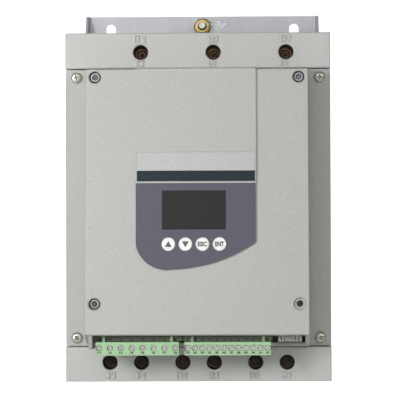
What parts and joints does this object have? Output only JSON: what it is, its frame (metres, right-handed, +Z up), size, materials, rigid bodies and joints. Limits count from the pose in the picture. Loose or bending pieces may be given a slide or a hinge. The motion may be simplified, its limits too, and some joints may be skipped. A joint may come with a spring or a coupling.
{
  "type": "soft starter",
  "caption": "Wall-hung three-phase soft starter: folded steel back plate, grey housing, raised control cover with display and keys, and plug-in control terminals below.",
  "frame": {"origin": "centre of the back plate's wall face, between the four fixing places", "axes": "+Z up, +Y into the wall, -Y out of the front, +X to the right of someone who faces the front"},
  "size_m": [0.191, 0.2349, 0.29],
  "materials": {
    "plate_steel": "zinc-coated sheet, matt",
    "screw_steel": "zinc plated",
    "earth_brass": "plain brass, dulled",
    "clamp_brass": "plain brass",
    "busbar_copper": "bare copper",
    "sink_aluminium": "extruded, bare",
    "case_plastic": "fine moulded texture",
    "strip_plastic": "smooth film",
    "banner_ink": "printed film, satin",
    "panel_violet": "printed film, satin",
    "window_dark": "clear pane over an unlit display",
    "key_white": "satin",
    "black_plastic": "moulded",
    "module_plastic": "moulded",
    "board_green": "solder mask",
    "plug_green": "moulded, satin",
    "header_green": "moulded, satin",
    "socket_tin": "tin plated"
  },
  "bodies": {
    "starter": {"mounting_chassis": "plate_steel", "earth_stud": "screw_steel", "earth_nut": "earth_brass", "heat_sink": "sink_aluminium", "fan_tray": "plate_steel", "power_screws": "screw_steel", "terminal_clamps": "clamp_brass", "clamp_screws": "screw_steel", "line_terminal_block": "black_plastic", "motor_terminal_block": "black_plastic", "power_housing": "case_plastic", "control_cover": "case_plastic", "marking_strip": "strip_plastic", "banner_strip": "banner_ink", "keypad_overlay": "panel_violet", "display_module": "board_green", "display_window": "window_dark", "control_board": "board_green", "firing_board": "board_green", "relay_terminal_header": "header_green", "signal_terminal_header": "header_green", "data_socket_shield": "socket_tin", "data_socket_insert": "black_plastic", "housing_screws": "screw_steel", "cover_screws": "screw_steel", "fan_frame_left": "black_plastic", "fan_frame_right": "black_plastic", "thyristor_module_1": "module_plastic", "line_busbar_1": "busbar_copper", "motor_busbar_1": "busbar_copper", "current_sensor_1": "black_plastic", "thyristor_module_2": "module_plastic", "line_busbar_2": "busbar_copper", "motor_busbar_2": "busbar_copper", "current_sensor_2": "black_plastic", "thyristor_module_3": "module_plastic", "line_busbar_3": "busbar_copper", "motor_busbar_3": "busbar_copper", "current_sensor_3": "black_plastic"},
    "fan_left": {"fan_rotor_left": "black_plastic"},
    "fan_right": {"fan_rotor_right": "black_plastic"},
    "relay_plug": {"relay_terminal_plug": "plug_green"},
    "signal_plug": {"signal_terminal_plug": "plug_green"},
    "key_up": {"key_up": "key_white"},
    "key_down": {"key_down": "key_white"},
    "key_escape": {"key_escape": "key_white"},
    "key_enter": {"key_enter": "key_white"}
  },
  "joints": [
    {"name": "key_up_press", "type": "slide", "parent": "starter", "child": "key_up", "axis": [0, 0.9976, -0.0697], "range_m": [0, 0.0008], "stiffness_N_per_m": 900, "springref_m": -0.0004},
    {"name": "key_down_press", "type": "slide", "parent": "starter", "child": "key_down", "axis": [0, 0.9976, -0.0697], "range_m": [0, 0.0008], "stiffness_N_per_m": 900, "springref_m": -0.0004},
    {"name": "key_escape_press", "type": "slide", "parent": "starter", "child": "key_escape", "axis": [0, 0.9976, -0.0697], "range_m": [0, 0.0008], "stiffness_N_per_m": 900, "springref_m": -0.0004},
    {"name": "key_enter_press", "type": "slide", "parent": "starter", "child": "key_enter", "axis": [0, 0.9976, -0.0697], "range_m": [0, 0.0008], "stiffness_N_per_m": 900, "springref_m": -0.0004},
    {"name": "relay_plug_withdraw", "type": "slide", "parent": "starter", "child": "relay_plug", "axis": [0, 0, -1], "range_m": [0, 0.012]},
    {"name": "signal_plug_withdraw", "type": "slide", "parent": "starter", "child": "signal_plug", "axis": [0, 0, -1], "range_m": [0, 0.012]},
    {"name": "fan_left_spin", "type": "hinge", "parent": "starter", "child": "fan_left", "pos_m": [-0.0465, -0.04925, -0.098], "axis": [0, 0, 1], "continuous": true},
    {"name": "fan_right_spin", "type": "hinge", "parent": "starter", "child": "fan_right", "pos_m": [0.0465, -0.04925, -0.098], "axis": [0, 0, 1], "continuous": true}
  ]
}
